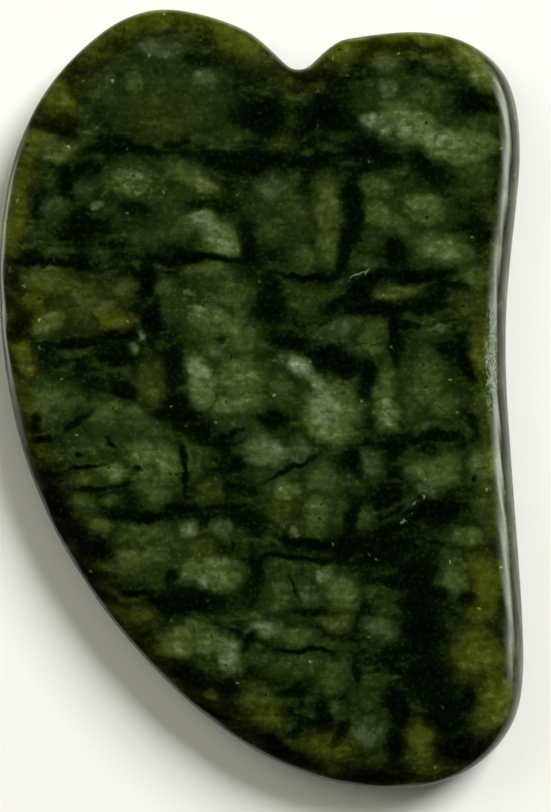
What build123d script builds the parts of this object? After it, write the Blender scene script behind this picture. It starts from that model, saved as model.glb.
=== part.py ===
# A hand-cut gua sha scraper: one flat board of polished green stone with a heart-like double-lobed head.
#
# The board lies flat on its lower face. Z is up through its thickness, Y runs along its length towards the
# two lobes, and the origin is the centre of the outline's box on the lower face. Millimetres.
#
# Going round the outline clockwise from the notch, seen from above: the lower lobe on the right, the hollow
# side that follows a cheek or a limb, the rounded heel, the long bowed belly for sweeping strokes, and the
# taller lobe on the left. Every edge is ground to a full round, so no edge of the board is sharp.

from build123d import *

import os

# Overall size
LENGTH = 82.0
WIDTH = 55.3
THICKNESS = 6.0

# The round ground on both rims. Twice this is a little under the thickness, so a narrow flat band is left.
RIM_RADIUS = 2.9

# The notch between the lobes: a small round valley, symmetric about its own centre line.
NOTCH_X = 3.95
NOTCH_BOTTOM_Y = 34.75
NOTCH_RADIUS = 1.9
NOTCH_FLANK_ANGLE = 45.0  # steepness of its two flanks above the X axis, degrees
NOTCH_FLANK_PULL = 2.0  # how far the lobes keep to the slope of the flanks

# Points that the rest of the outline passes through, clockwise from the notch.
HALF_LENGTH = LENGTH / 2
HALF_WIDTH = WIDTH / 2
RIGHT_LOBE = [(9.6, 38.0), (14.7, 38.6), (21.0, 37.85), (25.3, 34.8), (27.2, 28.6)]
HOLLOW_SIDE = [(26.7, 18.5), (25.8, 7.0), (26.25, -4.5), (27.05, -15.5)]
HEEL = [(HALF_WIDTH, -26.5), (26.65, -34.0), (23.1, -38.4)]
BELLY = [(12.4, -HALF_LENGTH), (1.5, -38.2), (-9.2, -30.5), (-18.7, -19.2), (-25.0, -5.9)]
LEFT_FLANK = [(-27.4, 6.5), (-27.4, 18.0), (-24.2, 30.0)]
LEFT_LOBE = [(-18.7, 37.0), (-10.5, HALF_LENGTH), (-2.6, 39.3)]


def notch_point(angle):
    """The point of the notch's arc at this angle from straight down, positive to the right."""
    centre = Vector(NOTCH_X, NOTCH_BOTTOM_Y + NOTCH_RADIUS)
    return centre + Vector(0, -NOTCH_RADIUS).rotate(Axis.Z, angle)


notch_left = notch_point(-NOTCH_FLANK_ANGLE)
notch_right = notch_point(NOTCH_FLANK_ANGLE)
up_right_flank = Vector(1, 0).rotate(Axis.Z, NOTCH_FLANK_ANGLE)
down_left_flank = Vector(1, 0).rotate(Axis.Z, -NOTCH_FLANK_ANGLE)

with BuildPart() as board:
    with BuildSketch():
        with BuildLine():
            Spline(
                [notch_right, *RIGHT_LOBE, *HOLLOW_SIDE, *HEEL, *BELLY, *LEFT_FLANK, *LEFT_LOBE, notch_left],
                tangents=[up_right_flank, down_left_flank],
                tangent_scalars=[NOTCH_FLANK_PULL, NOTCH_FLANK_PULL],
            )
            ThreePointArc(notch_left, notch_point(0), notch_right)
        make_face()
    extrude(amount=THICKNESS)
    rims = board.edges().group_by(Axis.Z)
    fillet(rims[0] + rims[-1], radius=RIM_RADIUS)

board.part.label = "stone_board"

os.makedirs("parts", exist_ok=True)
export_step(board.part, "parts/stone_board.step")

outline = board.part.bounding_box()
print("box", outline.min, outline.max, "volume", round(board.part.volume))
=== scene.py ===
import math

import bpy
import numpy as np
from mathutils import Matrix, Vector
from mathutils.geometry import delaunay_2d_cdt


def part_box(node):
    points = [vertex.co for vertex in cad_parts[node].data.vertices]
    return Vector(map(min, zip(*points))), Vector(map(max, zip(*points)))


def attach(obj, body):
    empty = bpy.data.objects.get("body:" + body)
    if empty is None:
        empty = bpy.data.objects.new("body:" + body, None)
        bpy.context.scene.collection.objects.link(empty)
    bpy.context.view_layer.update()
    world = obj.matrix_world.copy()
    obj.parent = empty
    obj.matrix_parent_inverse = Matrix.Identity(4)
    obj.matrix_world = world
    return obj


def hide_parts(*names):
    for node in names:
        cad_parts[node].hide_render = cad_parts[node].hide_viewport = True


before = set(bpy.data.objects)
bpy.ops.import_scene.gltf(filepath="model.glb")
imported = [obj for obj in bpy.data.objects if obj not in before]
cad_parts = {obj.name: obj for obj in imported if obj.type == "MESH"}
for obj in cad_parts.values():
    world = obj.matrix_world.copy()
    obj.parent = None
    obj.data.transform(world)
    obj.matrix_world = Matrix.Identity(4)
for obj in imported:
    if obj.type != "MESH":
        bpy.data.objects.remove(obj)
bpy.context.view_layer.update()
MM = 0.001

# The board lies flat with its two lobes at +Y, and its middle plane is halfway up. Lengths below are in
# millimetres, and angles in degrees.
low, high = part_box("stone_board")
THICK = (high.z - low.z) / MM
RIM = 2.9  # how far in from the edge the rounding starts, as in the CAD board
AROUND = 840  # points in each ring round the board
ACROSS = 29  # rings from a flat face to the middle plane
PITCH = 0.55  # spacing of the points on the flat faces
LATTICE_GAP = 0.35  # least distance from those points to the rim's inner ring
SINK = 0.013  # how far polishing has hollowed the flat faces
SINK_RUN = 6  # width over which that hollow sets in
SHARE_BLEND = 12  # how many outline points one grinding takes to pass into the next

# The rim was ground by hand: (distance in from the edge, tilt of the surface) from the flat face outwards.
# The side that faces right was ground to a slope with a steep facet below it. The left side and the lobes
# are fuller, and the long curve at the lower left is rounder.
GROUND = [
    (2.9, 0), (2.5, 11), (2.05, 19), (1.8, 25), (1.35, 34), (0.95, 44),
    (0.75, 54), (0.6, 61), (0.4, 66), (0.06, 74.5), (0, 88),
]
FULL = [(2.9, 0), (1.6, 9), (0.95, 20), (0.6, 29), (0.25, 44), (0.12, 64), (0.05, 79), (0, 88)]
ROUND = [(2.9, 0), (2.0, 13), (1.2, 22), (0.75, 32), (0.3, 44), (0.14, 62), (0.05, 78), (0, 88)]

# Waves left by the wheel: (height, waves round the board, waves across the rim, phase).
WHEEL_WAVES = [(0.030, 9, 0.0, 0), (0.018, 23, 0.7, 140), (0.007, 41, 3.0, 60), (0.005, 31, 5.0, 250)]
# Waves in the flat faces: (height, waves per mm along x, along y, phase).
FACE_WAVES = [(0.006, 0.045, 0.020, 0), (0.005, -0.025, 0.060, 80), (0.002, 0.110, 0.090, 200)]


# ---------------------------------------------------------------- the board's surface
def cad_outline():
    """The CAD board's own outline points at the top of its narrow flat band, in order round the board."""
    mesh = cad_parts["stone_board"].data
    points = np.array([v.co for v in mesh.vertices]) / MM
    band_top = THICK - RIM
    band = points[np.abs(points[:, 2] - band_top) < 0.004][:, :2]
    band = np.unique(band.round(4), axis=0)
    turn = np.arctan2(band[:, 1], band[:, 0] - 2.0)
    band = band[np.argsort(turn)]
    gap = np.hypot(*(np.roll(band, -1, 0) - band).T)
    return band[gap > 0.02]


def smooth_loop(points, count):
    """A closed cubic through the points, cut into count equal lengths, and its whole length."""
    before, after, far = np.roll(points, 1, 0), np.roll(points, -1, 0), np.roll(points, -2, 0)
    d0 = np.hypot(*(points - before).T)[:, None]
    d1 = np.hypot(*(after - points).T)[:, None]
    d2 = np.hypot(*(far - after).T)[:, None]
    slope_a = ((points - before) / d0 * d1 + (after - points) / d1 * d0) / (d0 + d1)
    slope_b = ((after - points) / d1 * d2 + (far - after) / d2 * d1) / (d1 + d2)
    dense = []
    for t in np.linspace(0, 1, 24, endpoint=False):
        h00, h10 = 2 * t**3 - 3 * t**2 + 1, t**3 - 2 * t**2 + t
        h01, h11 = -2 * t**3 + 3 * t**2, t**3 - t**2
        dense.append(h00 * points + h10 * d1 * slope_a + h01 * after + h11 * d1 * slope_b)
    dense = np.stack(dense, 1).reshape(-1, 2)
    closed = np.vstack([dense, dense[:1]])
    run = np.r_[0, np.cumsum(np.hypot(*np.diff(closed, axis=0).T))]
    at = np.linspace(0, run[-1], count, endpoint=False)
    return np.c_[np.interp(at, run, closed[:, 0]), np.interp(at, run, closed[:, 1])]


def soften(values, width):
    """A closed row of values, averaged over a bell about width steps wide."""
    reach = int(3 * width)
    steps = np.arange(-reach, reach + 1)
    bell = np.exp(-0.5 * (steps / width) ** 2)
    bell /= bell.sum()
    return sum(b * np.roll(values, s, 0) for b, s in zip(bell, steps))


def smooth_step(value, start, end):
    """0 at start, 1 at end and an easy slope between them."""
    t = np.clip((value - start) / (end - start), 0, 1)
    return t * t * (3 - 2 * t)


def rim_profile(tilts):
    """Inset from the edge, drop from the flat face and tilt, at even steps down to the middle plane."""
    insets, angles = np.array(tilts, float).T
    inset = np.linspace(RIM, 0, 600)
    angle = np.interp(-inset, -insets, angles)
    drop = np.r_[0, np.cumsum(np.tan(np.radians((angle[1:] + angle[:-1]) / 2)) * -np.diff(inset))]
    drop *= min(1, THICK / 2 / drop[-1])
    inset, drop, angle = np.r_[inset, 0], np.r_[drop, THICK / 2], np.r_[angle, 90]
    run = np.r_[0, np.cumsum(np.hypot(np.diff(inset), np.diff(drop)))]
    at = np.linspace(0, run[-1], ACROSS)
    return np.stack([np.interp(at, run, row) for row in (inset, drop, angle)])


def rim_rings(outline, outward):
    """All rings from the inner edge of the upper face round to that of the lower face, with their insets."""
    right = smooth_step(outward[:, 0], 0.45, 0.85)
    belly = smooth_step(-outward[:, 1], -0.05, 0.3) * (1 - right)
    left = 1 - right - belly
    shares = [soften(share, SHARE_BLEND)[:, None, None] for share in (right, left, belly)]
    profiles = [rim_profile(tilts)[None] for tilts in (GROUND, FULL, ROUND)]
    mixed = sum(share * profile for share, profile in zip(shares, profiles))
    inset, drop, angle = mixed.transpose(1, 2, 0)
    angle = np.radians(angle)
    round_share = np.arange(AROUND)[None, :] / AROUND
    across_share = np.linspace(0, 1, ACROSS)[:, None]
    verts, insets = [], []
    for side in (1, -1):
        wave = 0
        for height, along, across, phase in WHEEL_WAVES:
            turns = along * round_share + side * across * across_share
            wave = wave + height * np.sin(2 * math.pi * turns + math.radians(phase * side))
        wave = wave * np.sin(math.pi * across_share) ** 0.7
        out = wave * np.sin(angle) - inset
        up = wave * np.cos(angle) + THICK / 2 - drop
        ring = outline[None] + outward[None] * out[..., None]
        block = np.concatenate([ring, THICK / 2 + side * up[..., None]], 2)
        order = slice(None) if side == 1 else slice(-2, None, -1)
        verts.append(block[order])
        insets.append(inset[order])
    return np.concatenate(verts), np.concatenate(insets)


def inside(points, loop):
    """Which of the points lie inside the closed loop."""
    hit = np.zeros(len(points), bool)
    for p, q in zip(loop, np.roll(loop, -1, 0)):
        crosses = (p[1] > points[:, 1]) != (q[1] > points[:, 1])
        if crosses.any():
            x = (q[0] - p[0]) * (points[:, 1] - p[1]) / (q[1] - p[1] + 1e-12) + p[0]
            hit ^= crosses & (points[:, 0] < x)
    return hit


def face_lattice(loop):
    """Evenly spaced points inside the loop, clear of it, with their distances to it."""
    xs = np.arange(-28, 28, PITCH)
    ys = np.arange(-41, 41, PITCH * math.sqrt(3) / 2)
    points = np.array([(x + (k % 2) * PITCH / 2, y) for k, y in enumerate(ys) for x in xs])
    points = points[inside(points, loop)]
    gap = np.min(np.hypot(points[:, None, 0] - loop[None, :, 0], points[:, None, 1] - loop[None, :, 1]), 1)
    clear = gap > LATTICE_GAP
    return points[clear], gap[clear]


def board_mesh():
    """The ground rim as rings of quads, closed above and below by a lattice of triangles."""
    outline = smooth_loop(cad_outline(), AROUND)
    ahead = soften(np.roll(outline, -1, 0) - np.roll(outline, 1, 0), 2.0)
    outward = np.c_[ahead[:, 1], -ahead[:, 0]] / np.hypot(*ahead.T)[:, None]
    rings, insets = rim_rings(outline, outward)
    count = len(rings)
    verts = rings.reshape(-1, 3)
    faces = []
    for r in range(count - 1):
        for i in range(AROUND):
            a, b = r * AROUND + i, r * AROUND + (i + 1) % AROUND
            faces.append((a, a + AROUND, b + AROUND, b))

    inner = rings[0, :, :2]
    lattice, gap = face_lattice(inner)
    flat = [Vector(p) for p in np.vstack([inner, lattice])]
    loop = [(i, (i + 1) % AROUND) for i in range(AROUND)]
    flat, _, triangles, *_ = delaunay_2d_cdt(flat, loop, [], 1, 1e-6)
    wave = sum(
        height * np.sin(2 * math.pi * (lattice @ (along_x, along_y)) + math.radians(phase))
        for height, along_x, along_y, phase in FACE_WAVES
    )
    away = smooth_step(gap, 0, SINK_RUN)
    wave *= away
    top = np.c_[lattice, THICK - SINK * away + wave]
    bottom = np.c_[lattice, SINK * away - wave]
    first_top, first_low, last_ring = len(verts), len(verts) + len(lattice), (count - 1) * AROUND
    for t in triangles:
        faces.append(tuple(i if i < AROUND else first_top + i - AROUND for i in t))
        faces.append(tuple(last_ring + i if i < AROUND else first_low + i - AROUND for i in reversed(t)))
    verts = np.vstack([verts, top, bottom])
    verts = np.clip(verts, np.array(low) / MM, np.array(high) / MM)

    mesh = bpy.data.meshes.new("polished_board")
    mesh.from_pydata((verts * MM).tolist(), [], faces)
    mesh.validate()
    mesh.shade_smooth()
    edge = np.r_[insets.ravel(), gap + RIM, gap + RIM].astype(np.float32)
    mesh.attributes.new("edge", "FLOAT", "POINT").data.foreach_set("value", edge)
    return mesh


board = bpy.data.objects.new("polished_board", board_mesh())
bpy.context.scene.collection.objects.link(board)


# ---------------------------------------------------------------- stone
class Nodes:
    """Short names for the few kinds of shader node that the stone needs. Everything is in millimetres."""

    def __init__(self, tree):
        self.tree = tree

    def add(self, kind, inputs=(), **settings):
        node = self.tree.nodes.new("ShaderNode" + kind)
        for name, value in settings.items():
            setattr(node, name, value)
        for slot, value in dict(inputs).items():
            if isinstance(value, bpy.types.NodeSocket):
                self.tree.links.new(value, node.inputs[slot])
            else:
                node.inputs[slot].default_value = value
        return node

    def math(self, operation, a, b=0.0, c=0.0, clamp=False):
        return self.add("Math", {0: a, 1: b, 2: c}, operation=operation, use_clamp=clamp).outputs[0]

    def vector(self, operation, a, b=(0, 0, 0), c=(0, 0, 0)):
        node = self.add("VectorMath", {0: a, 1: b, 2: c}, operation=operation)
        return node.outputs["Value" if operation == "LENGTH" else "Vector"]

    def span(self, value, low, high, to_low=0.0, to_high=1.0, kind="SMOOTHSTEP"):
        inputs = {"Value": value, "From Min": low, "From Max": high, "To Min": to_low, "To Max": to_high}
        return self.add("MapRange", inputs, interpolation_type=kind, clamp=kind == "LINEAR").outputs[0]

    def noise(self, at, scale, detail=3.0, rough=0.5, colour=False, dimensions="3D"):
        inputs = {"Vector": at, "Scale": scale, "Detail": detail, "Roughness": rough}
        node = self.add("TexNoise", inputs, noise_dimensions=dimensions)
        return node.outputs["Color" if colour else "Fac"]

    def blend(self, share, a, b):
        node = self.add("Mix", data_type="RGBA")
        for slot, value in ((0, share), (6, a), (7, b)):
            if isinstance(value, bpy.types.NodeSocket):
                self.tree.links.new(value, node.inputs[slot])
            else:
                node.inputs[slot].default_value = value
        return node.outputs[2]


def colour(red, green, blue, light=1.2):
    """The surface colour that looks like these 0 to 255 numbers under the studio light."""

    def linear(c):
        return c / 255 / 12.92 if c < 10.3 else ((c / 255 + 0.055) / 1.055) ** 2.4

    return tuple(linear(c) / light for c in (red, green, blue)) + (1,)


def ramp(nodes, value, stops):
    """Colours along a lightness from 0 to 1, given as stops of (lightness out of 255, colour)."""
    node = nodes.add("ValToRGB", {"Fac": value})
    band = node.color_ramp
    band.elements[0].position, band.elements[0].color = stops[0][0] / 255, colour(*stops[0][1])
    band.elements[1].position, band.elements[1].color = stops[-1][0] / 255, colour(*stops[-1][1])
    for lightness, shade in stops[1:-1]:
        band.elements.new(lightness / 255).color = colour(*shade)
    return node.outputs["Color"]


# How light a cloud of the stone is, out of 255, in six steps.
FAINT = 38
SOFT = 46
MID = 58
CLEAR = 72
BRIGHT = 88
PALE = 108

# What a cloud's colour leans to, from -1 for grey to 1 for olive.
ICE = -0.8
GREY = -0.35
LEAF = 0.1
MOSS = 0.3
OLIVE = 0.95

# Clouds run into each other, so each is drawn this much wider than its heart.
CLOUD_SPREAD = 1.25

# Clouds in the stone, seen from above: centre x, y, half length, half width, turn in degrees, lightness and
# lean. They were placed to about half a millimetre.
CLOUDS = [
    # broad paler fields under the rest
    (-15, -5, 5.5, 4.5, 0, FAINT, LEAF), (-4, 6, 3.5, 8, 0, SOFT, LEAF), (-11, -16, 4.5, 3, 0, FAINT, LEAF),
    (4, -20, 5, 3.5, 0, FAINT, LEAF), (3, -9, 5, 4, 0, FAINT, LEAF), (16, 1, 4.5, 3.5, 0, FAINT, LEAF),
    (-10, 21, 5.5, 3.5, 0, FAINT, LEAF), (15, 19, 4.5, 4, 0, FAINT, LEAF),
    (-19, 10, 4.5, 3, 0, FAINT, MOSS),
    (17, 28, 7, 3, -25, SOFT, LEAF), (-10, 32, 6.5, 4.5, 0, FAINT, LEAF), (2, 19, 3.5, 3.5, 0, FAINT, LEAF),
    # rim of the taller lobe and the left edge
    (-14.5, 39, 2.5, 1.5, 25, MID, OLIVE), (-10, 40, 4, 1.2, 0, SOFT, OLIVE),
    (-2.5, 38, 3.5, 1.8, -45, MID, OLIVE),
    (-17.5, 37, 2, 1.5, 45, SOFT, OLIVE), (-21, 31.5, 1.5, 2, 0, MID, OLIVE),
    (-22, 26.5, 2.8, 1.3, 0, CLEAR, MOSS),
    (-25, 23.5, 1.2, 2, 0, SOFT, OLIVE), (-26, 19, 1.2, 4, 0, MID, OLIVE),
    (-21.5, 20, 1.5, 1.5, 0, SOFT, GREY),
    # taller lobe
    (-10.5, 36.5, 2.5, 1.3, 0, MID, GREY), (-16, 33, 1, 1, 0, SOFT, GREY),
    (-13.5, 33, 1.2, 1, 0, MID, LEAF),
    (-6, 33.5, 1.6, 1, 0, MID, GREY), (-18, 28, 1.3, 0.6, 0, SOFT, LEAF),
    (-11, 29.5, 3, 2.5, 0, FAINT, MOSS),
    (-11, 27, 0.8, 0.5, 0, SOFT, GREY), (-3, 28, 2, 1, 0, SOFT, LEAF), (2, 27, 1.5, 1, 0, FAINT, MOSS),
    # upper left field
    (-13.5, 22.5, 2.2, 2, 0, MID, LEAF), (-13, 23, 0.7, 0.6, 0, CLEAR, GREY),
    (-17, 20.5, 0.5, 0.5, 0, BRIGHT, GREY),
    (-18, 22.5, 1, 1.3, 0, SOFT, GREY), (-7.5, 23, 3, 1.4, -25, MID, LEAF),
    (-6, 22, 1.8, 0.9, -25, CLEAR, MOSS),
    (1, 22.5, 1.4, 1.6, 0, MID, GREY), (-8.5, 18, 2, 1.4, 0, SOFT, LEAF),
    (-6.5, 18.5, 1.6, 1, 0, BRIGHT, GREY),
    (-4.5, 17, 2.2, 1.7, 0, BRIGHT, LEAF), (-12.5, 17, 2, 1.3, 0, FAINT, LEAF),
    (1, 18, 1.4, 2, 0, SOFT, LEAF),
    # lower lobe
    (8, 37, 3.5, 1.6, 25, MID, OLIVE), (14, 38, 3, 1, 0, SOFT, OLIVE), (18, 38, 2.5, 0.9, 0, MID, MOSS),
    # These two pale clouds at the lobe's right corner are partly stone and partly a painted highlight, where
    # the rim's highlight begins.
    (22, 36, 2.5, 1.3, -25, CLEAR, MOSS), (23.5, 34, 1.8, 1.4, -45, CLEAR, MOSS),
    (13, 35, 1.8, 1.2, 0, MID, GREY),
    (13.5, 32.5, 1.3, 1, 0, MID, GREY), (17.5, 32, 2.5, 1.6, 0, SOFT, LEAF),
    (11, 29.5, 1, 0.9, 0, BRIGHT, GREY),
    (12.5, 29, 1.6, 1, -25, CLEAR, GREY), (16.5, 28.5, 4, 1.8, -25, BRIGHT, LEAF),
    (20, 26.5, 3.2, 1.8, -25, BRIGHT, LEAF),
    (23, 26.5, 1.6, 1.3, 0, CLEAR, LEAF), (22.5, 23, 2, 1.8, 0, SOFT, LEAF),
    # under the lower lobe
    (12, 22, 2, 1.2, -25, MID, LEAF), (17, 20, 2.4, 1.4, 0, CLEAR, LEAF),
    (12, 19, 2.5, 1.1, -45, MID, LEAF),
    (14, 18, 1.5, 1, 0, MID, LEAF), (18.5, 16, 2.8, 1.4, -25, CLEAR, LEAF),
    (21, 15.5, 1.5, 1, 0, MID, LEAF),
    (22.5, 13, 1.8, 1.3, 0, MID, LEAF), (6.5, 20, 1.6, 3.5, 0, MID, MOSS), (7, 16, 1.8, 1.5, 0, MID, LEAF),
    (4, 15, 1.5, 1, 0, SOFT, LEAF), (11.5, 14.5, 1.2, 0.7, 0, SOFT, GREY),
    (14.5, 11, 2.2, 0.8, 0, MID, MOSS),
    (8, 27.5, 1.5, 0.7, 0, FAINT, LEAF),
    # left middle
    (-22.5, 12.5, 2.5, 1.3, 0, MID, MOSS), (-19.5, 11, 3, 1.4, -25, MID, LEAF),
    (-22.5, 8, 1.5, 1, 0, CLEAR, MOSS),
    (-24, 10, 1.5, 2, 0, SOFT, OLIVE), (-17, 9.5, 2, 1.2, 0, MID, LEAF), (-15.5, 8, 2, 0.9, 0, MID, OLIVE),
    (-14, 11, 1.2, 1.4, 0, SOFT, MOSS), (-13.5, 5.5, 0.7, 0.6, 0, CLEAR, GREY),
    (-12, 6.5, 0.35, 0.35, 0, PALE, ICE),
    (-19.5, 5, 1.5, 0.6, 0, SOFT, LEAF), (-24.5, 4, 1, 2, 0, MID, OLIVE), (-22.5, -0.5, 3, 2, 0, MID, LEAF),
    (-11.5, 2, 2, 2, 0, SOFT, MOSS),
    # the tall column
    (-5.5, 13.5, 2.3, 1, 0, MID, LEAF), (-10, 11.5, 1.5, 1.5, 0, SOFT, LEAF),
    (-9, 9.5, 1.5, 2, 0, SOFT, LEAF),
    (-7.5, 11, 0.5, 0.5, 0, CLEAR, GREY), (-3, 11, 2, 1.4, 0, MID, LEAF),
    (-5.5, 8, 2.2, 1.8, 0, CLEAR, LEAF),
    (-3.5, 7.5, 1.6, 1.5, 0, CLEAR, LEAF), (-7, 9, 0.6, 0.5, 0, BRIGHT, GREY),
    (-2, 6, 2, 1.6, 0, MID, LEAF),
    (-4.5, 5, 1.8, 1.3, 0, MID, LEAF), (-6.5, 2, 1.8, 2.2, 0, BRIGHT, LEAF),
    (-6, 1, 1.3, 1.6, 0, BRIGHT, LEAF),
    (-3.5, 2.5, 1.8, 1.8, 0, MID, LEAF), (-2, 2, 2.8, 2.6, 0, CLEAR, LEAF),
    (-2.5, -0.5, 2.8, 1.4, 0, CLEAR, LEAF),
    (2, 1, 1.3, 2.5, 0, SOFT, LEAF), (2, 4, 0.8, 1, 0, SOFT, GREY),
    # left below the middle
    (-15, -1.5, 3.2, 1.4, 0, MID, LEAF), (-11.5, -3, 2.5, 1.3, 0, SOFT, LEAF),
    (-18.5, -5, 2, 1.6, 0, SOFT, LEAF),
    (-12.5, -6, 1.8, 1.6, 0, CLEAR, LEAF), (-10, -6.5, 1.5, 2, 0, CLEAR, LEAF),
    (-15.5, -8, 1.6, 1, -25, CLEAR, LEAF),
    (-11.5, -9, 2.2, 1.6, 0, MID, LEAF), (-18.5, -8.5, 1.8, 0.8, 0, SOFT, MOSS),
    (-7, -6, 1.2, 2, 0, SOFT, LEAF),
    (-5.5, -9.5, 1.3, 1.3, 0, SOFT, MOSS), (-19, -10.5, 1.3, 0.6, 0, SOFT, LEAF),
    (-16, -11, 1.2, 0.6, 0, SOFT, LEAF),
    (-17.5, -13, 1.6, 0.9, -25, MID, MOSS), (-12.5, -14, 2.6, 1.2, 0, MID, LEAF),
    (-7.5, -14, 1.1, 0.9, 0, CLEAR, GREY),
    (-4, -14, 1, 1, 0, MID, GREY), (-13.5, -16.5, 1.5, 1.1, 0, MID, MOSS),
    (-11, -16.5, 1.5, 1.1, 0, MID, LEAF),
    (-6.5, -16, 1.6, 1, 0, MID, MOSS), (-7.5, -18.5, 1.7, 1.3, 0, CLEAR, LEAF),
    (-4.5, -18, 2.3, 1.3, -25, CLEAR, LEAF),
    (-6, -19, 0.9, 0.6, 0, BRIGHT, GREY),
    # centre
    (4, 3.5, 1.3, 0.9, -45, PALE, ICE), (5.5, 2, 1.2, 0.8, -45, BRIGHT, GREY),
    (7, -1, 3, 2.4, -45, BRIGHT, LEAF),
    (8, -3, 1.8, 1.5, 0, CLEAR, LEAF), (3.5, -1, 1.5, 1.2, 0, FAINT, LEAF),
    (-2.5, -4.5, 1, 0.4, 0, CLEAR, ICE),
    (0.5, -5.5, 2.3, 1.3, 0, CLEAR, GREY), (4, -5, 1.3, 1.5, 0, MID, GREY),
    (2.5, -9.5, 1.6, 1.3, 0, CLEAR, LEAF),
    (6, -8.5, 1.7, 2, 0, MID, LEAF), (5.5, -12, 1.2, 1.5, 0, CLEAR, LEAF),
    (2, -12, 1.5, 1.2, 0, SOFT, MOSS),
    (11, -7, 1.4, 1.4, 0, MID, GREY), (10.5, -12, 1, 1.2, 0, SOFT, LEAF),
    (3.5, -14, 0.5, 0.6, 0, CLEAR, GREY),
    # right middle
    (11.5, 6, 1.3, 2.3, 0, MID, LEAF), (8, 7, 1.4, 1, 0, MID, GREY), (3.5, 10.5, 2.5, 1.8, 0, FAINT, LEAF),
    (22.5, 9.5, 1.8, 2, 0, SOFT, MOSS), (23, 5, 1.2, 3, 0, MID, OLIVE), (19, 7, 0.7, 0.4, 0, CLEAR, GREY),
    (13, 1.5, 1.1, 2.3, 0, MID, LEAF), (17.5, 2, 1.8, 3, 0, MID, LEAF),
    (15.5, 0.5, 0.9, 2.5, 0, SOFT, LEAF),
    (13, -1.5, 1.3, 1.6, 0, BRIGHT, LEAF), (19, -1, 1.6, 1.5, 0, MID, LEAF),
    (23.5, -1.5, 1.2, 3, 0, SOFT, MOSS),
    (18, -7.5, 2.4, 1.4, 0, CLEAR, LEAF), (19.5, -6.5, 1.5, 1.1, 0, MID, LEAF),
    (17.5, -9.5, 1.3, 0.6, 0, MID, GREY),
    (23.5, -6.5, 1.7, 2, 0, CLEAR, LEAF), (24, -12, 1.5, 3, 0, SOFT, LEAF),
    (16, -11.5, 1, 0.5, 25, MID, GREY),
    (21.5, -15, 2, 1.1, 0, MID, LEAF),
    # below the centre
    (2.5, -17.5, 1.8, 1, 0, SOFT, LEAF), (7, -18, 1, 0.9, 0, CLEAR, GREY),
    (8.5, -20, 1.6, 1.9, 0, CLEAR, LEAF),
    (5, -20, 1.3, 1.5, 0, MID, GREY), (2, -20.5, 1.3, 1.3, 0, MID, LEAF),
    (7.5, -23, 1.6, 1.4, 0, MID, MOSS),
    (0.5, -24, 1.3, 1, 0, BRIGHT, GREY), (3, -25, 2.4, 1, 0, MID, LEAF),
    (12.5, -24, 1.9, 1.3, 0, MID, GREY),
    (4, -28, 3.5, 1.4, 0, SOFT, LEAF), (7.5, -29, 1.6, 1.6, 0, MID, LEAF),
    (11, -31, 1.8, 2.2, 0, FAINT, LEAF),
    # belly
    (-13.5, -22.5, 1.4, 1.3, 0, SOFT, OLIVE), (-9, -26, 1.9, 1.7, 0, CLEAR, MOSS),
    (-6, -26, 1.8, 1.7, 0, CLEAR, LEAF),
    (-3.5, -27, 1.3, 1.8, 25, BRIGHT, GREY), (-7, -24, 2, 0.8, 0, MID, LEAF),
    (-5, -31, 0.7, 0.5, 0, CLEAR, GREY),
    (-0.5, -31, 2, 1.5, 0, SOFT, MOSS), (0, -33, 2.2, 1.2, -25, SOFT, OLIVE),
    # heel
    (19.5, -19, 1.9, 1.2, -25, CLEAR, LEAF), (23.5, -19, 2, 2.5, 0, MID, OLIVE),
    (23.5, -22, 1.8, 2, 0, SOFT, OLIVE),
    (23, -27, 2.7, 2.8, 0, MID, OLIVE), (24.5, -32, 2.1, 2.4, 0, CLEAR, OLIVE),
    (11, -35, 2.3, 1.6, 0, MID, GREY),
    (7, -36.5, 2.3, 1.4, -25, SOFT, OLIVE), (17, -36, 1.8, 1.8, 0, MID, OLIVE),
    (17, -39, 1.2, 0.9, 0, FAINT, LEAF),
]

# How much of the light a dark zone takes away.
BLACK = 0.95
DARK = 0.85
DIM = 0.65
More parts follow.
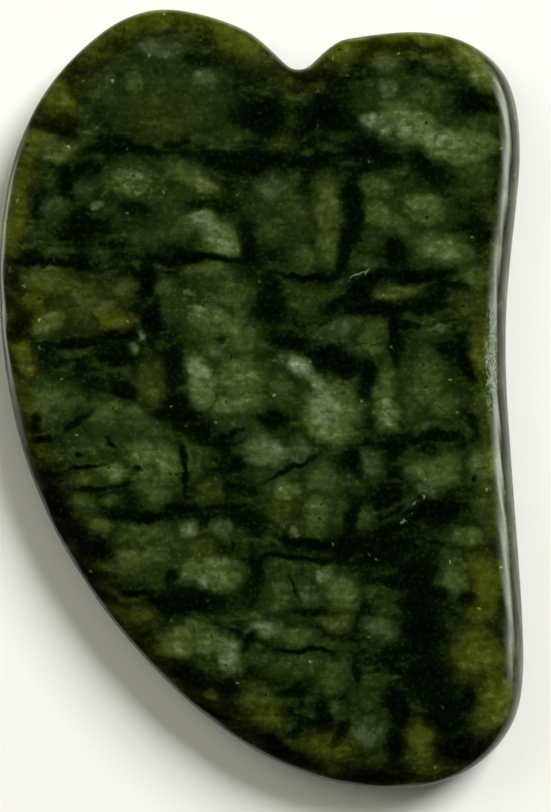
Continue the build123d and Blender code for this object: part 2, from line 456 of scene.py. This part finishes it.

# Dark zones and veins over the clouds: centre x, y, half length, half width, turn, depth. Placed like the
# clouds.
DARKS = [
    # under the lobes
    (0.5, 29.5, 2.6, 2, 0, BLACK), (6.5, 29.5, 3.2, 2, 0, BLACK), (-15.5, 26, 4.5, 0.8, 0, DARK),
    (-18, 24, 1.8, 1.2, 0, DIM), (-20.5, 23, 0.9, 1.5, 0, DARK), (-1.5, 25, 4.5, 1.2, 0, DARK),
    (-9, 27, 2, 0.4, 0, DIM), (-21, 29, 1.5, 2, 0, DIM), (-6.5, 35.5, 2, 0.7, 0, DIM),
    (10.5, 26, 2.3, 1.8, 0, DARK), (13, 25, 2.5, 1, 0, DARK), (17.5, 24.5, 2.6, 1.2, -25, DARK),
    (5, 25, 3, 0.8, 0, DARK), (22.5, 30.5, 1.8, 1.4, 0, DARK), (9.5, 20, 0.9, 4, 0, DARK),
    (4, 23, 0.7, 2, 0, DIM),
    (-18.5, 18.5, 1.8, 1.8, 0, DARK), (-13.5, 19.5, 1.4, 0.7, 0, DIM), (-5.5, 20, 3, 0.5, 0, DIM),
    (22, 18, 1.5, 1.2, 0, DIM),
    # veins and knots across the upper middle
    (-22, 14, 5.5, 0.5, 0, BLACK), (-6.5, 15, 6, 0.5, 0, BLACK), (-1, 16.5, 1, 3, 0, DARK),
    (-12, 12.5, 0.9, 3, 0, BLACK), (-11, 8, 1.1, 2.6, 0, BLACK), (-9, 3.5, 1.1, 2.6, 0, DARK),
    (-8.5, -0.5, 1.2, 2.2, 0, BLACK), (0.5, 10, 1.3, 3, 0, DARK), (2.5, 6, 2.2, 0.6, 0, BLACK),
    (4, 13, 4.5, 0.4, 0, BLACK), (12.5, 13, 1.6, 0.5, 0, BLACK), (14, 15.5, 1.2, 1.4, 0, BLACK),
    (16.5, 13, 4, 0.9, 0, BLACK), (9, 16, 0.9, 2.5, 0, DARK), (10.5, 11, 1.6, 1.6, 0, BLACK),
    (12, 9, 4.8, 0.9, 0, BLACK), (17.5, 9.5, 2.6, 1.2, 0, DARK), (21, 11.5, 1.5, 0.5, 0, DIM),
    (14, 6, 0.7, 2.6, 0, DARK), (16, 7, 1.5, 0.4, 0, DARK), (7, 5, 2, 0.8, 0, BLACK),
    (8.5, 3.5, 1.2, 1.5, 0, BLACK),
    (11, 2, 0.8, 2.2, 0, DARK), (19.5, 5, 1.5, 0.8, 0, DARK), (21.5, 3, 0.8, 2.2, 25, BLACK),
    # left edge and left middle
    (-25, 8, 0.8, 2, 0, DARK), (-26, 12.5, 0.8, 1.2, 0, DIM), (-19.5, 6, 2.6, 0.6, 0, DARK),
    (-15.5, 6.5, 3, 0.4, 0, DARK), (-16, 4.5, 2.6, 1.3, 0, DARK), (-19, 3.5, 1, 0.8, 0, DIM),
    (-14.5, 1, 1.3, 0.8, 0, DARK), (-4, 6, 0.5, 0.3, 0, DIM), (-19, -2.5, 1.8, 0.5, 45, DARK),
    (-22.5, -4, 1.3, 0.4, 0, BLACK), (-23.5, -2.5, 0.7, 1.2, 0, DARK), (-22.5, -7.5, 1.6, 1.5, 0, DARK),
    (-21.5, -11, 1.1, 3, 25, BLACK), (-20, -14, 1.3, 1.5, 0, DARK), (-18, -15.5, 2.6, 1.1, -25, BLACK),
    (-18.5, -7, 2.3, 0.3, 0, BLACK), (-16.5, -9.5, 3, 0.3, 0, DARK), (-15.5, -4.5, 1, 0.3, -45, DARK),
    (-18.5, -5.5, 0.5, 0.3, 0, BLACK), (-13, -8, 0.6, 0.3, 0, DARK),
    # below the middle
    (-8.5, -1.5, 2.3, 0.9, 0, BLACK), (-8, -7, 0.4, 3.5, 0, DARK), (-6, -3.5, 1.2, 1.5, 0, DARK),
    (-3.5, -4.5, 1.6, 1, 0, DARK), (-2.5, -7, 1, 0.7, 0, DARK), (-3.5, -9, 1.2, 0.6, 0, DARK),
    (1, -2.5, 1.8, 0.8, 0, DARK), (-1.5, -9.5, 1.4, 1.2, 0, DIM), (-8.5, -11.5, 2.3, 0.7, 0, BLACK),
    (-13.5, -12.5, 4.5, 0.6, 0, BLACK), (-3.5, -11.5, 3, 0.3, 0, DARK), (-1, -13, 1.8, 1.4, 0, DIM),
    (-1, -18, 1, 3.5, 0, DIM), (3, -7, 3.6, 0.3, 25, DARK), (9.5, -6.5, 0.8, 2, 0, BLACK),
    (14, -5, 1.5, 1.3, 0, DARK), (17.5, -4, 2.6, 0.5, 0, DARK), (22, -3, 0.6, 1.2, 0, DIM),
    (22.5, -8, 0.4, 0.4, 0, DARK),
    (9, -12.5, 0.8, 2.5, 0, BLACK), (13, -10.5, 2.2, 0.8, 0, DARK), (13.5, -14, 2.4, 0.8, 0, BLACK),
    (18.5, -12, 3.2, 1.6, 0, BLACK), (5, -14.5, 3.6, 0.5, 0, BLACK), (3.5, -16.5, 4.6, 0.4, 0, BLACK),
    (9, -15.5, 1.3, 1.4, 0, BLACK), (12, -16.5, 2.6, 1.4, 0, DARK), (16, -18, 2.2, 1.6, 0, BLACK),
    (16.5, -21, 2.2, 2, 0, BLACK), (21.5, -21, 1.2, 1, 0, DARK), (3.5, -19.5, 0.3, 1.5, 25, DIM),
    # above the belly
    (-8, -21, 5, 1.6, 0, BLACK), (-13, -20, 2, 0.5, 0, DARK), (-9.5, -18.5, 0.8, 0.8, 0, DARK),
    (5, -22.5, 3, 0.6, 0, DARK), (-1, -25.5, 0.5, 1.6, -25, BLACK), (4.5, -26.5, 3.6, 0.3, 0, DARK),
    (-7.5, -29.5, 3, 0.9, -25, BLACK), (-3.5, -30.5, 1.8, 0.8, 0, DARK), (3.5, -31, 2, 0.6, 0, DIM),
    # heel
    (6.5, -33, 0.8, 2.2, 0, BLACK), (8, -35, 0.5, 1.3, -25, DARK), (10, -29, 0.4, 1.5, 0, DARK),
    (17, -24.5, 2.6, 3, 0, BLACK), (17.5, -29, 2.6, 3.5, 0, BLACK), (14.5, -33, 1.1, 2.6, 0, BLACK),
    (19, -33, 1.9, 3, 0, BLACK), (4, -38, 3.5, 1, -25, BLACK), (1.5, -36, 1.6, 0.8, -25, DARK),
    (14, -37, 1, 2.5, 0, BLACK), (13, -40, 3.6, 0.9, 0, BLACK), (20.5, -36.5, 2.5, 1.7, 0, BLACK),
    (23.5, -36.5, 1.6, 1, 45, BLACK), (21, -31.5, 0.6, 1.5, 0, DARK),
]


# Where the stone is crushed and paler: centre x, y, half width, half height.
CRUSHED = [
    (-13, 22.5, 3.5, 2), (-12.5, 6, 2, 1.5), (-6.5, 10, 3, 2), (8.5, 2.5, 1.5, 2), (18.5, 8, 2.5, 1.5),
    (2, -13.5, 1.5, 1.5), (-17.5, 28, 1.5, 1), (1.5, 4, 1, 1),
]

# Open scratches that catch the light: centre x, y, half length, half width, turn, lightness.
SCRATCHES = [
    (17, -10.5, 1, 0.2, 45, BRIGHT), (16, -11.5, 0.8, 0.2, 45, BRIGHT), (15.5, -13, 0.8, 0.2, 25, BRIGHT),
    (15, -13.5, 0.7, 0.2, 0, BRIGHT), (10.5, 13, 1.3, 0.15, 25, BRIGHT),
    (11.5, 13.5, 0.5, 0.15, 70, BRIGHT),
]

# The duller patch where the right rim has worn: centre x, y, half width, half height.
WORN_PATCH = (24, 4, 0.8, 6.5)


def green_stone():
    """Dark green polished stone: soft clouds, near-black veins and cracks, and a few pale specks."""
    material = bpy.data.materials.new("green_stone")
    material.use_nodes = True
    n = Nodes(material.node_tree)
    shader = material.node_tree.nodes["Principled BSDF"]
    place = n.add("TexCoord").outputs["Object"]
    here = n.vector("MULTIPLY", place, (1000, 1000, 1000))
    spot = n.add("SeparateXYZ", {0: here}).outputs

    # The pattern leans as it goes down through the stone, wanders a little, and steps at small grains.
    depth = n.math("SUBTRACT", THICK, spot["Z"])
    depths = n.add("CombineXYZ", {0: depth, 1: depth, 2: depth}).outputs[0]
    lean = n.vector("MULTIPLY", depths, (0.9, -0.75, 0.0))
    place_in = n.vector("ADD", here, lean)
    slow = n.noise(place_in, 0.14, 1.0, 0.5, True, "2D")
    big = n.vector("MULTIPLY_ADD", slow, (2.4, 2.4, 0), (-1.2, -1.2, 0))
    quick = n.noise(place_in, 0.65, 2.5, 0.55, True, "2D")
    small = n.vector("MULTIPLY_ADD", quick, (0.8, 0.8, 0), (-0.4, -0.4, 0))
    grains = n.add(
        "TexVoronoi", {"Vector": place_in, "Scale": 0.95, "Smoothness": 0.6},
        feature="SMOOTH_F1", voronoi_dimensions="2D",
    )
    step = n.vector("MULTIPLY_ADD", grains.outputs["Color"], (0.24, 0.24, 0), (-0.12, -0.12, 0))
    p = n.vector("ADD", n.vector("ADD", n.vector("ADD", place_in, big), small), step)
    turned = {0: p}
    for turn in (25, 45, 70, -25, -45):
        back = {"Vector": p, "Angle": -math.radians(turn)}
        turned[turn] = n.add("VectorRotate", back, rotation_type="Z_AXIS").outputs[0]

    def reach(x, y, a, b, turn):
        """How far out of the ellipse a point is: 0 at its centre, 1 on its edge."""
        c, s = math.cos(math.radians(turn)), math.sin(math.radians(turn))
        across, along = x * c + y * s, y * c - x * s
        off = n.vector("MULTIPLY_ADD", turned[turn], (1 / a, 1 / b, 0), (-across / a, -along / b, 0))
        return n.vector("LENGTH", off)

    light, warm, cool, dark = 0.0, 0.0, 0.0, 0.0
    for x, y, a, b, turn, lightness, warmth in CLOUDS:
        r = reach(x, y, a, b, turn)
        light = n.math("MAXIMUM", light, n.span(r, 1.6 * CLOUD_SPREAD, 0.4, 0, lightness / 255))
        if warmth > 0.25:
            warm = n.math("MAXIMUM", warm, n.span(r, 1.7, 0.7, 0, warmth))
        elif warmth < -0.1:
            cool = n.math("MAXIMUM", cool, n.span(r, 1.4, 0.5, 0, -warmth))
    for x, y, a, b, turn, deep in DARKS:
        dark = n.math("MAXIMUM", dark, n.span(reach(x, y, a, b, turn), 1.5, 0.4, 0, deep))

    # Mottling, streaks and grains inside the clouds.
    mottle = n.noise(n.vector("MULTIPLY", p, (0.75, 1.2, 1.0)), 0.5, 3.5, 0.55)
    ground = n.noise(n.vector("MULTIPLY", p, (0.6, 1.3, 1.0)), 0.33, 5.0, 0.62)
    level = n.noise(n.vector("MULTIPLY", place_in, (0.45, 2.2, 0.8)), 0.8, 2.0, 0.5)
    grain_tone = n.add("SeparateColor", {0: grains.outputs["Color"]}).outputs["Blue"]
    grain = n.math("MULTIPLY", n.span(mottle, 0.32, 0.68, 0.86, 1.16), n.span(level, 0.3, 0.7, 0.92, 1.1))
    grain = n.math("MULTIPLY", grain, n.span(grain_tone, 0.1, 0.9, 0.93, 1.07))
    fine = n.noise(n.vector("MULTIPLY", place_in, (1.0, 1.15, 1.0)), 1.1, 2.0, 0.5, False, "2D")
    grain = n.math("MULTIPLY", grain, n.span(fine, 0.32, 0.68, 0.9, 1.12))
    ground = n.span(ground, 0.36, 0.66, 0.012, 0.175)
    lightness = n.math("MULTIPLY", n.math("SMOOTH_MAX", ground, light, 0.06), grain)
    # Painted light: just inside the edge on the right and at the lobes, the sides facing the lights, the
    # colour is lightened into a painted glow that stands in for light through the thin edge and for the
    # rim's bright reflections.
    inset = n.add("Attribute", attribute_name="edge").outputs["Fac"]
    lit_side = n.math("MAXIMUM", n.span(spot["X"], 15.0, 23.0), n.span(spot["Y"], 28.0, 36.0))
    veil = n.span(n.noise(n.vector("MULTIPLY", here, (1.0, 1.0, 1.6)), 0.3, 3.0, 0.5), 0.32, 0.68, 0.35, 1.1)
    painted_edge_glow = n.math("MULTIPLY", n.math("MULTIPLY", n.span(inset, 1.1, 0.2, 0.0, 0.3), lit_side), veil)
    lightness = n.math("MAXIMUM", lightness, painted_edge_glow)

    # Cracks: the edges of flattened blocks, open in some places and healed in others.
    blocks = n.vector("MULTIPLY", p, (0.8, 1.25, 0.6))
    cells = n.add(
        "TexVoronoi", {"Vector": blocks, "Scale": 0.27},
        feature="DISTANCE_TO_EDGE", voronoi_dimensions="2D",
    )
    opening = n.span(n.noise(place_in, 0.3, 2.0, 0.5, False, "2D"), 0.5, 0.7, 0.0, 0.06)
    crack = n.span(n.math("DIVIDE", cells.outputs["Distance"], n.math("ADD", opening, 0.001)), 1.0, 0.0)
    dark = n.math("MAXIMUM", dark, n.math("MULTIPLY", crack, 0.25))
    dark = n.math("MULTIPLY", dark, n.span(mottle, 0.35, 0.65, 1.0, 0.9))
    lightness = n.math("MULTIPLY", lightness, n.math("SUBTRACT", 1.0, dark))

    # Pale flecks where the stone is crushed, scattered pale and black specks, and a few open scratches.
    crowd = 0.0
    for x, y, a, b in CRUSHED:
        off = n.vector("MULTIPLY_ADD", here, (1 / a, 1 / b, 0), (-x / a, -y / b, 0))
        crowd = n.math("MAXIMUM", crowd, n.span(n.vector("LENGTH", off), 1.3, 0.3))
    fleck_noise = n.noise(n.vector("MULTIPLY", here, (1.0, 1.25, 1.0)), 1.5, 2.0, 0.6, False, "2D")
    flecks = n.span(fleck_noise, 0.52, 0.7, 0.0, 0.12)
    ragged = n.vector("MULTIPLY_ADD", n.noise(here, 3.5, 1.0, 0.5, True, "2D"), (0.5, 0.5, 0), here)
    dots = n.add("TexVoronoi", {"Vector": ragged, "Scale": 1.3}, feature="F1", voronoi_dimensions="2D")
    draw = n.add("SeparateColor", {0: dots.outputs["Color"]}).outputs
    dot = n.span(dots.outputs["Distance"], 0.3, 0.08)
    pale = n.math("MULTIPLY", dot, n.span(draw["Red"], 0.985, 1.0, 0.05, 0.3))
    crushed = n.math("MULTIPLY", n.math("MULTIPLY", crowd, flecks), n.math("MULTIPLY_ADD", dark, -0.8, 1.0))
    pale = n.math("MAXIMUM", pale, crushed)
    black = n.math("MULTIPLY", dot, n.span(draw["Green"], 0.04, 0.01, 0.0, 0.85))
    lightness = n.math("MULTIPLY", lightness, n.math("SUBTRACT", 1.0, black))
    lightness = n.math("ADD", lightness, pale)
    for x, y, a, b, turn, pallor in SCRATCHES:
        broken = n.span(fine, 0.4, 0.55, 0.2, 1.1)
        mark = n.math("MULTIPLY", n.span(reach(x, y, a, b, turn), 1.3, 0.5), broken)
        lightness = n.math("MAXIMUM", lightness, n.math("MULTIPLY", mark, pallor / 255))
        cool = n.math("MAXIMUM", cool, mark)
    x, y, a, b = WORN_PATCH
    off_patch = n.vector("MULTIPLY_ADD", here, (1 / a, 1 / b, 0), (-x / a, -y / b, 0))
    worn = n.span(n.vector("LENGTH", off_patch), 1.2, 0.6)
    flakes = n.noise(n.vector("MULTIPLY", here, (1.0, 0.55, 1.0)), 2.6, 2.0, 0.6)
    # Pale flakes lighten the colour in the worn patch: partly the paler scuffed stone and partly a painted
    # highlight where the rim's reflection breaks up.
    flake_and_glint = n.math("MULTIPLY", worn, n.span(flakes, 0.48, 0.64))
    lightness = n.math("MULTIPLY_ADD", flake_and_glint, 0.22, lightness)

    green = ramp(n, lightness, [
        (0, (0, 3, 0)), (15, (6, 18, 2)), (45, (36, 50, 14)), (80, (70, 86, 40)), (150, (140, 150, 120)),
        (220, (215, 222, 200)),
    ])
    olive = ramp(n, lightness, [
        (0, (2, 1, 0)), (30, (30, 33, 1)), (70, (68, 78, 12)), (110, (108, 118, 60)), (200, (200, 205, 160)),
    ])
    grey = ramp(n, lightness, [
        (0, (0, 2, 1)), (50, (44, 54, 36)), (110, (102, 116, 86)), (220, (216, 222, 206)),
    ])
    # Painted light: within 4 mm of the edge the colour turns olive all round, a painted tint for light
    # passing through the thin rim; the worn patch is mostly left out of it.
    warm = n.math("MAXIMUM", warm, n.span(inset, 4.0, 1.0, 0.0, 0.85))
    warm = n.math("MULTIPLY", warm, n.math("SUBTRACT", 1.0, worn))
    shade = n.blend(cool, green, grey)
    shade = n.blend(warm, shade, olive)
    material.node_tree.links.new(shade, shader.inputs["Base Color"])
    # Polished, with a faint haze in places and a duller patch where the right rim has worn.
    haze = n.span(n.noise(here, 0.4, 4.0, 0.6), 0.35, 0.7, 0.16, 0.26)
    roughness = n.math("ADD", haze, n.math("MULTIPLY", worn, n.span(flakes, 0.45, 0.6, 0.03, 0.16)))
    material.node_tree.links.new(roughness, shader.inputs["Roughness"])
    pits = n.add("TexVoronoi", {"Vector": here, "Scale": 2.3}, feature="F1")
    pit_chance = n.add("SeparateColor", {0: pits.outputs["Color"]}).outputs["Green"]
    pit = n.math("MULTIPLY", n.span(pits.outputs["Distance"], 0.28, 0.1), n.span(pit_chance, 0.9, 0.95))
    worn_pit = n.math("MULTIPLY", n.span(flakes, 0.5, 0.38), worn)
    polish = n.math("MULTIPLY", n.noise(here, 6.0, 3.0, 0.6), 0.0012)
    height = n.math("SUBTRACT", polish, n.math("MULTIPLY", pit, 0.01))
    height = n.math("SUBTRACT", height, n.math("MULTIPLY", worn_pit, 0.014))
    bump = n.add("Bump", {"Height": height, "Distance": 0.001, "Strength": 1.0}).outputs[0]
    material.node_tree.links.new(bump, shader.inputs["Normal"])
    shader.inputs["IOR"].default_value = 1.51
    return material


board.data.materials.append(green_stone())
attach(board, "root")
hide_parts("stone_board")


# ---------------------------------------------------------------- floor, light and camera
FLOOR_HALF = 1.5
floor_mesh = bpy.data.meshes.new("floor")
floor_corners = [(x * FLOOR_HALF, y * FLOOR_HALF, 0) for x, y in ((-1, -1), (1, -1), (1, 1), (-1, 1))]
floor_mesh.from_pydata(floor_corners, [], [(0, 1, 2, 3)])
floor = bpy.data.objects.new("floor", floor_mesh)
bpy.context.scene.collection.objects.link(floor)
paper = bpy.data.materials.new("pale_paper")
paper.use_nodes = True
paper_shader = paper.node_tree.nodes["Principled BSDF"]
paper_shader.inputs["Base Color"].default_value = (0.8, 0.8, 0.775, 1)
paper_shader.inputs["Roughness"].default_value = 0.9
paper_shader.inputs["Specular IOR Level"].default_value = 0.1
floor_mesh.materials.append(paper)


def soft_light(name, azimuth, elevation, distance, width, height, radiance, tint=(1, 1, 1)):
    """A rectangular light in metres that faces the board and isn't reflected in the polish."""
    data = bpy.data.lights.new(name, "AREA")
    data.shape = "RECTANGLE"
    data.size, data.size_y = width, height
    data.energy = radiance * math.pi * width * height
    data.color = tint
    lamp = bpy.data.objects.new(name, data)
    az, el = math.radians(azimuth), math.radians(elevation)
    lamp.location = (math.cos(el) * math.cos(az), math.cos(el) * math.sin(az), math.sin(el))
    lamp.rotation_euler = lamp.location.to_track_quat("Z", "Y").to_euler()
    lamp.location *= distance
    lamp.visible_glossy = False
    bpy.context.scene.collection.objects.link(lamp)


CREAM = (1, 1, 0.84)
soft_light("key", 50, 37, 1.8, 0.9, 0.9, 20.3)
soft_light("left_fill", 150, 40, 0.7, 0.5, 0.4, 2.4, CREAM)
soft_light("overhead_fill", 0, 88, 0.9, 0.8, 0.8, 0.75, CREAM)


# How bright the window is: (sine of the height angle, share of its full glow).
WINDOW_GLOW = [
    (0.08, 0.02), (0.2, 0.15), (0.32, 0.7), (0.42, 1.0),
    (0.52, 0.85), (0.64, 0.38), (0.76, 0.13), (0.87, 0.0),
]


def room():
    """A dim room with a tall window on the right and a pale wall on the left, seen only in reflections."""
    world = bpy.data.worlds.new("room")
    world.use_nodes = True
    n = Nodes(world.node_tree)
    way = n.add("SeparateXYZ", {0: n.add("TexCoord").outputs["Generated"]}).outputs
    # Brightness over the sine of the height angle, and over the side step y / x.
    rise = n.add("FloatCurve", {"Value": way["Z"]})
    curve = rise.mapping.curves[0]
    for height, glow in WINDOW_GLOW:
        curve.points.new(height, glow)
    curve.points[0].location = (0, 0)
    curve.points[-1].location = (1, 0)
    rise.mapping.update()
    side = n.math("DIVIDE", way["Y"], n.math("MAXIMUM", way["X"], 0.001))
    across = n.math("MULTIPLY", n.span(side, -0.17, 0.0), n.span(side, 0.85, 0.45))
    window = n.math("MULTIPLY", rise.outputs[0], n.math("MULTIPLY", across, n.span(way["X"], 0.0, 0.1)))
    # A pale wall low on the left.
    side = n.math("DIVIDE", way["Y"], n.math("MAXIMUM", n.math("MULTIPLY", way["X"], -1.0), 0.001))
    across = n.math("MULTIPLY", n.span(side, -0.3, -0.02), n.span(side, 0.5, 0.2))
    low_down = n.math("MULTIPLY", across, n.span(way["Z"], 0.46, 0.26))
    wall = n.math("MULTIPLY", low_down, n.span(way["X"], 0.0, -0.1))
    strength = n.math("MULTIPLY_ADD", window, 11.5, n.math("MULTIPLY_ADD", wall, 6.5, 0.006))
    background = world.node_tree.nodes["Background"]
    background.inputs["Color"].default_value = (0.91, 1, 0.82, 1)
    world.node_tree.links.new(strength, background.inputs["Strength"])
    world.cycles_visibility.diffuse = False
    return world


bpy.context.scene.world = room()

# Straight above the board with a long lens, the lobes at the top of the picture.
VIEW_HEIGHT = 85.9  # what the picture shows at the board's middle plane
DISTANCE = 350.0
SENSOR = 36
AIM = (1.45, -0.75)  # the point of the board under the middle of the picture
camera_data = bpy.data.cameras.new("camera")
camera_data.sensor_fit = "VERTICAL"
camera_data.sensor_height = SENSOR
camera_data.lens = SENSOR * DISTANCE / VIEW_HEIGHT
camera_data.clip_start = 0.01
camera = bpy.data.objects.new("camera", camera_data)
camera.location = (AIM[0] * MM, AIM[1] * MM, (THICK / 2 + DISTANCE) * MM)
bpy.context.scene.collection.objects.link(camera)
bpy.context.scene.camera = camera
bpy.context.scene.view_settings.view_transform = "Standard"
